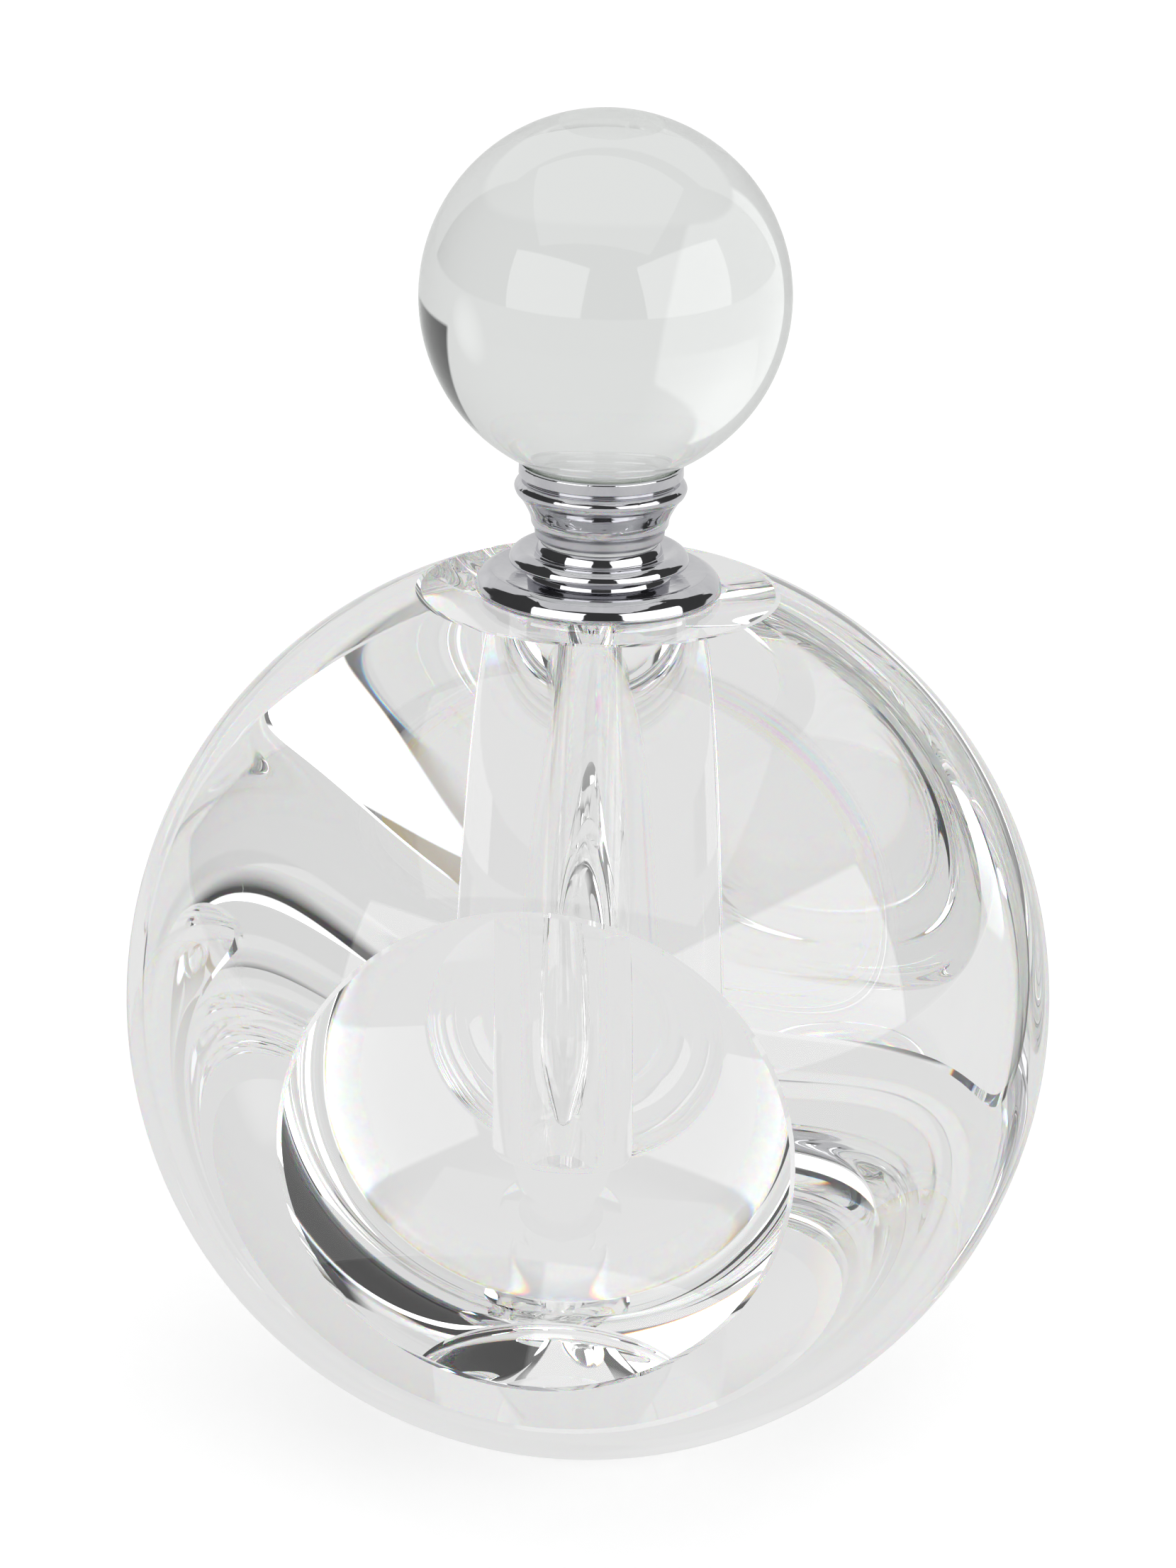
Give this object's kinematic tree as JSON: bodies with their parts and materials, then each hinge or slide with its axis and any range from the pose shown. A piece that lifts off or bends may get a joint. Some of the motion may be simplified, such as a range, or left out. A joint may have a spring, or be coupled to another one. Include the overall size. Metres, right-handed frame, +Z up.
{
  "type": "crystal perfume bottle with ball stopper",
  "caption": "Clear crystal globe perfume bottle with a dished cut front and back, a drilled bore, a chromed collar and a lift-out crystal ball stopper with a glass dabber.",
  "frame": {"origin": "centre of the flat base, on the surface the bottle stands on", "axes": "+Z up along the bore; -Y is the front dished cut and +Y the back one; X runs across"},
  "size_m": [0.08, 0.0684, 0.1146],
  "materials": {
    "crystal": "colourless polished lead crystal, index about 1.59",
    "ball_crystal": "polished glass ball, faint grey-green",
    "wand_glass": "fire-polished clear glass",
    "chrome": "bright chrome plate",
    "cast_chrome": "chrome plate over a slightly pitted casting",
    "clear_cement": "clear glass cement, slightly cloudy",
    "plug_plastic": "natural polyethylene",
    "seal_plastic": "translucent soft plastic"
  },
  "bodies": {
    "bottle": {"crystal_body": "crystal", "collar": "chrome", "collar_cement": "clear_cement"},
    "seal": {"plug_seal": "seal_plastic", "rest_washer": "seal_plastic"},
    "stopper": {"ferrule": "cast_chrome", "crystal_ball": "ball_crystal", "ball_cement": "clear_cement", "dabber_plug": "plug_plastic", "dabber": "wand_glass"}
  },
  "joints": [
    {"name": "stopper_lift", "type": "slide", "parent": "bottle", "child": "seal", "axis": [0, 0, 1], "range_m": [0, 0.06]},
    {"name": "stopper_turn", "type": "hinge", "parent": "seal", "child": "stopper", "pos_m": [0, 0, 0.078], "axis": [0, 0, 1], "continuous": true}
  ]
}
